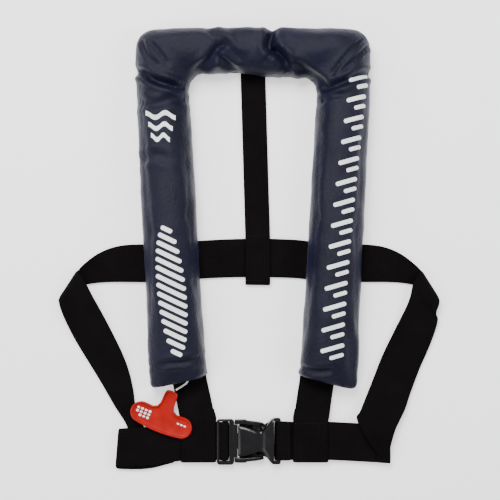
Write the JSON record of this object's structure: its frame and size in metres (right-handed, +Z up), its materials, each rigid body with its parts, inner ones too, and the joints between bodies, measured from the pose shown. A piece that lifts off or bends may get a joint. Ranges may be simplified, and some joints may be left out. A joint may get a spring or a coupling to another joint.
{
  "type": "inflatable life jacket",
  "caption": "Horseshoe-shaped manually fired inflatable life jacket laid flat, with padded cover, webbing harness, side-release buckle, pull tab and gas inflator inside.",
  "frame": {"origin": "middle of the underside, on the surface the jacket lies on", "axes": "+Z up out of the jacket's front face, +Y towards the collar, +X to the right as seen from the front"},
  "size_m": [0.492, 0.568, 0.053],
  "materials": {
    "navy_cloth": "woven nylon, soft sheen",
    "bladder_cloth": "coated nylon, semi-matt",
    "black_web": "ribbed webbing, matt",
    "buckle_plastic": "moulded, glossy",
    "inner_plastic": "moulded, matt",
    "inner_rubber": "matt",
    "signal_red": "moulded, satin",
    "bright_steel": "plated, satin",
    "white_cord": "braided, matt"
  },
  "bodies": {
    "harness_and_lobes": {"cover_left_front": "navy_cloth", "cover_left_back": "navy_cloth", "cover_right_front": "navy_cloth", "cover_right_back": "navy_cloth", "bladder_left": "bladder_cloth", "bladder_right": "bladder_cloth", "back_strap": "black_web", "back_strap_keeper": "black_web", "back_belt": "black_web", "side_strap_left": "black_web", "side_strap_right": "black_web", "belt_corner_left": "black_web", "belt_corner_right": "black_web", "front_belt_right": "black_web", "loop_left_strap": "black_web", "loop_right_strap": "black_web", "loop_right_ring": "black_web", "buckle_female": "buckle_plastic", "inflator_body": "inner_plastic", "manifold_stem": "inner_plastic", "manifold_nut": "inner_plastic", "oral_tube": "inner_plastic", "oral_valve": "inner_plastic", "manifold_gasket": "inner_rubber", "whistle": "signal_red", "pin_spring": "bright_steel", "lever_pin": "bright_steel"},
    "collar": {"collar_front": "navy_cloth", "collar_back": "navy_cloth", "bladder_collar": "bladder_cloth"},
    "belt_left": {"front_belt_left": "black_web", "loop_left_ring": "black_web", "buckle_male": "buckle_plastic"},
    "prong_upper": {"prong_upper": "buckle_plastic"},
    "prong_lower": {"prong_lower": "buckle_plastic"},
    "pull_tab": {"pull_tab": "signal_red", "pull_cord": "white_cord"},
    "inflator_lever": {"inflator_lever": "signal_red"},
    "firing_pin": {"firing_pin": "bright_steel"},
    "co2_cylinder": {"co2_cylinder": "bright_steel"},
    "oral_cap": {"oral_cap": "signal_red"}
  },
  "joints": [
    {"name": "collar_fold", "type": "hinge", "parent": "harness_and_lobes", "child": "collar", "pos_m": [0.005, 0.204, 0.048], "axis": [1, 0, 0], "range_deg": [0, 75]},
    {"name": "buckle_release", "type": "slide", "parent": "harness_and_lobes", "child": "belt_left", "axis": [-1, 0, 0], "range_m": [0, 0.034]},
    {"name": "prong_upper_squeeze", "type": "hinge", "parent": "belt_left", "child": "prong_upper", "pos_m": [-0.017, -0.2225, 0.0072], "axis": [0, 0, -1], "range_deg": [0, 5], "stiffness_Nm_per_rad": 0.6},
    {"name": "prong_lower_squeeze", "type": "hinge", "parent": "belt_left", "child": "prong_lower", "pos_m": [-0.017, -0.2715, 0.0072], "axis": [0, 0, 1], "range_deg": [0, 5], "stiffness_Nm_per_rad": 0.6},
    {"name": "tab_pull", "type": "slide", "parent": "harness_and_lobes", "child": "pull_tab", "axis": [-0.3746, -0.9272, 0], "range_m": [0, 0.03]},
    {"name": "lever_swing", "type": "hinge", "parent": "harness_and_lobes", "child": "inflator_lever", "pos_m": [-0.092, -0.136, 0.0245], "axis": [0, 0, -1], "range_deg": [0, 72.01]},
    {"name": "pin_stroke", "type": "slide", "parent": "harness_and_lobes", "child": "firing_pin", "axis": [0, 1, 0], "range_m": [0, 0.0041]},
    {"name": "cylinder_turn", "type": "hinge", "parent": "harness_and_lobes", "child": "co2_cylinder", "pos_m": [-0.092, -0.1, 0.0245], "axis": [0, -1, 0], "range_deg": [0, 720]},
    {"name": "oral_cap_pull", "type": "slide", "parent": "harness_and_lobes", "child": "oral_cap", "axis": [0, -1, 0], "range_m": [0, 0.012]}
  ],
  "couplings": [
    {"joint": "prong_lower_squeeze", "follows": "prong_upper_squeeze", "ratio": 1},
    {"joint": "lever_swing", "follows": "tab_pull", "rad_per_m": 41.888},
    {"joint": "pin_stroke", "follows": "tab_pull", "ratio": 0.13333}
  ]
}
